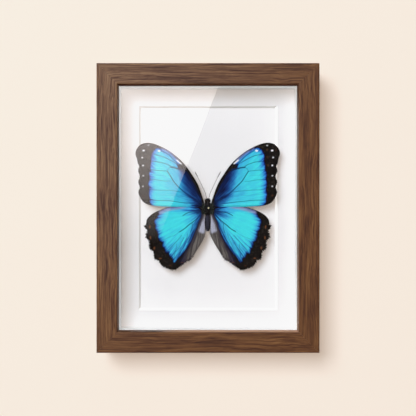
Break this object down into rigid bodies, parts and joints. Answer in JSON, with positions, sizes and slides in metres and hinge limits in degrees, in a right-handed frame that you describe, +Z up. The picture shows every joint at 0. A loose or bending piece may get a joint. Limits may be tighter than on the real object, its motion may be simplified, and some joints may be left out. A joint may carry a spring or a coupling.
{
  "type": "framed butterfly specimen",
  "caption": "Blue butterfly specimen with spread wings, pinned over a white mount board inside a glazed, mitred walnut box frame that stands or hangs.",
  "frame": {"origin": "the middle of the frame's footprint, on the underside of the bottom rail", "axes": "+Z up the frame, the front and its glass face -Y, the wall side faces +Y, +X to the right as seen from the front"},
  "size_m": [0.172, 0.035, 0.2235],
  "materials": {
    "wood": "satin oiled walnut",
    "glass": "clear, polished",
    "white_card": "matt white foam board",
    "mat_board": "matt, bevel cut",
    "backing_paper": "matt",
    "fibreboard": "raw fibreboard",
    "steel": "zinc plated",
    "pin": "polished",
    "body": "dry, hairy",
    "wing": "iridescent scales"
  },
  "bodies": {
    "root": {"frame_top": "wood", "frame_bottom": "wood", "frame_left": "wood", "frame_right": "wood", "glass_pane": "glass", "spacer_top": "white_card", "spacer_bottom": "white_card", "spacer_left": "white_card", "spacer_right": "white_card", "window_mat": "mat_board", "mount_board": "backing_paper", "back_panel": "fibreboard", "point_left_lower": "steel", "point_left_upper": "steel", "point_right_lower": "steel", "point_right_upper": "steel", "point_bottom_left": "steel", "point_bottom_right": "steel", "point_top_left": "steel", "point_top_right": "steel", "sawtooth_hanger": "steel", "hanger_rivet_left": "steel", "hanger_rivet_right": "steel", "insect_pin": "pin", "butterfly_body": "body", "antenna_left": "body", "antenna_right": "body", "forewing_left": "wing", "forewing_right": "wing", "hindwing_left": "wing", "hindwing_right": "wing"}
  },
  "joints": []
}
